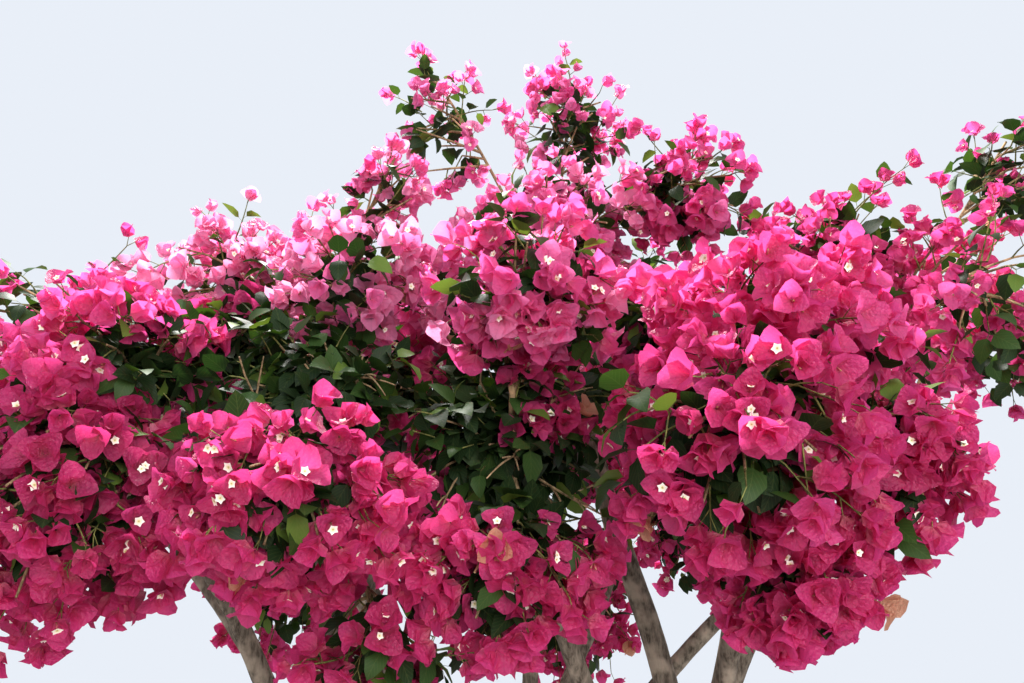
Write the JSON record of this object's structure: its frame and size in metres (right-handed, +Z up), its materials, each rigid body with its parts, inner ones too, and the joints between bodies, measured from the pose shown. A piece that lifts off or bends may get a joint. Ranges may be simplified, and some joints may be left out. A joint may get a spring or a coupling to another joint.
{
  "type": "bougainvillea bush",
  "caption": "Weeping bougainvillea bush in full pink bloom: a leaning flared trunk that forks into climbing stems, boughs and hanging masses of bracts, leaves and twigs.",
  "frame": {"origin": "middle of the flat cut under the trunk at ground level, which is the mount named ground", "axes": "+Z up; -Y towards the side that the picture shows, which is the side that weeps furthest; +X to the right as seen from there"},
  "size_m": [2.42, 1.6319, 2.9031],
  "materials": {
    "bark": "rough furrowed bark",
    "twig": "smooth green and tan young wood",
    "leaf": "satin green leaf",
    "bract": "thin papery pink bract",
    "flower": "matt cream flower"
  },
  "bodies": {
    "root": {"trunk": "bark", "stem_left": "bark", "stem_right": "bark", "stem_back": "bark", "bough_left": "bark", "bough_left_crest": "bark", "bough_front_left": "bark", "bough_far_left": "bark", "bough_back_left": "bark", "bough_front": "bark", "bough_front_right": "bark", "bough_top": "bark", "bough_right_crest": "bark", "bough_far_right": "bark", "bough_back": "bark", "bough_back_top": "bark", "foliage_left_low": "bract", "foliage_left_mid": "bract", "foliage_left_high": "bract", "foliage_left_crest": "bract", "foliage_mid_crest": "bract", "foliage_shoot_left": "bract", "foliage_front_left": "bract", "foliage_tail_shoot": "bract", "foliage_dark_left": "leaf", "foliage_front_low": "bract", "foliage_centre_dark": "leaf", "foliage_centre_bloom": "bract", "foliage_right_big": "bract", "foliage_right_tail": "bract", "foliage_right_upper": "bract", "foliage_right_side": "bract", "foliage_crown_mid": "bract", "foliage_top_shoot": "bract", "foliage_top_spray": "bract", "foliage_right_top": "bract", "foliage_right_crest": "bract", "foliage_right_edge": "bract", "foliage_edge_shoot": "leaf", "foliage_far_left": "bract", "foliage_left_back": "bract", "foliage_back_left_low": "bract", "foliage_back_mid": "bract", "foliage_back_low": "bract", "foliage_back_centre": "bract", "foliage_back_right": "bract", "foliage_back_left_top": "bract", "foliage_back_right_top": "bract", "foliage_right_back": "bract", "foliage_far_right": "bract", "foliage_heart_left": "leaf", "foliage_heart_mid": "leaf", "foliage_heart_right": "leaf", "foliage_heart_far_right": "leaf", "foliage_heart_front_left": "leaf", "foliage_heart_front_right": "leaf", "foliage_heart_crest_left": "leaf", "foliage_heart_centre_right": "leaf", "foliage_heart_crest_mid": "bract"}
  },
  "joints": []
}
